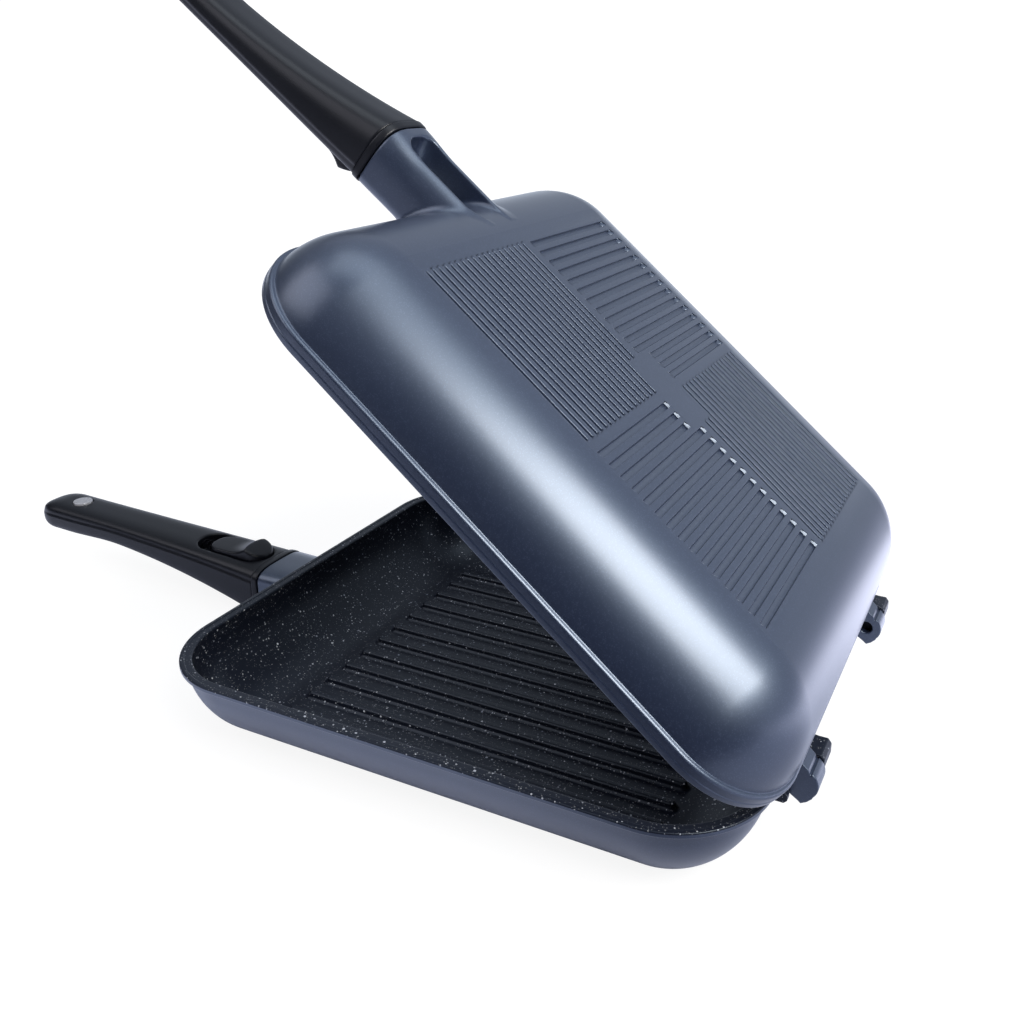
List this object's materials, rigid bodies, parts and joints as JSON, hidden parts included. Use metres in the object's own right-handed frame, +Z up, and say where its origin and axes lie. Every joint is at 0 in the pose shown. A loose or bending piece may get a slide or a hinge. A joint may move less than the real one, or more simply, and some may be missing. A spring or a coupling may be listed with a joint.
{
  "type": "double sided flip pan",
  "caption": "Rectangular double-sided griddle pan: a ribbed lower half and a matching lid on a slide-off hinge, each with a detachable grip, a release button and a magnet.",
  "frame": {"origin": "centre of the lower half's flat underside", "axes": "+X from the grips towards the hinge, +Y across the pan, +Z up; the lid stands open at 39.9 degrees"},
  "size_m": [0.4633, 0.23, 0.3376],
  "materials": {
    "casting": "cast aluminium; satin blue-grey metallic paint outside, dark speckled non-stick coating inside",
    "steel": "brushed",
    "grip": "satin black heat-proof plastic",
    "button": "satin black plastic",
    "magnet": "plain bright plating"
  },
  "bodies": {
    "lower_half": {"lower_pan": "casting", "lower_hinge_pin": "steel"},
    "lid_half": {"lid_pan": "casting", "lid_hinge_pin": "steel"},
    "lower_handle": {"lower_grip": "grip", "lower_collar": "grip", "lower_tongue": "steel", "lower_tongue_screws": "steel", "lower_catch_leaf": "steel", "lower_magnet": "magnet", "lower_button_spring": "steel"},
    "lid_handle": {"lid_grip": "grip", "lid_collar": "grip", "lid_tongue": "steel", "lid_tongue_screws": "steel", "lid_catch_leaf": "steel", "lid_magnet": "magnet", "lid_button_spring": "steel"},
    "lower_release": {"lower_button": "button"},
    "lid_release": {"lid_button": "button"}
  },
  "joints": [
    {"name": "lid_hinge", "type": "hinge", "parent": "lower_half", "child": "lid_half", "pos_m": [0.13594, 0, 0.0344], "axis": [0, 1, 0], "range_deg": [-39.9, 54.1]},
    {"name": "lower_handle_slide", "type": "slide", "parent": "lower_half", "child": "lower_handle", "axis": [-1, 0, 0], "range_m": [0, 0.03], "deforming": ["lower_catch_leaf"]},
    {"name": "lid_handle_slide", "type": "slide", "parent": "lid_half", "child": "lid_handle", "axis": [-0.7672, 0, 0.6414], "range_m": [0, 0.03], "deforming": ["lid_catch_leaf"]},
    {"name": "lower_button_slide", "type": "slide", "parent": "lower_handle", "child": "lower_release", "axis": [-1, 0, 0], "range_m": [0, 0.006], "stiffness_N_per_m": 600, "springref_m": -0.003, "deforming": ["lower_button_spring", "lower_catch_leaf"]},
    {"name": "lid_button_slide", "type": "slide", "parent": "lid_handle", "child": "lid_release", "axis": [-0.7672, 0, 0.6414], "range_m": [0, 0.006], "stiffness_N_per_m": 600, "springref_m": -0.003, "deforming": ["lid_button_spring", "lid_catch_leaf"]}
  ]
}
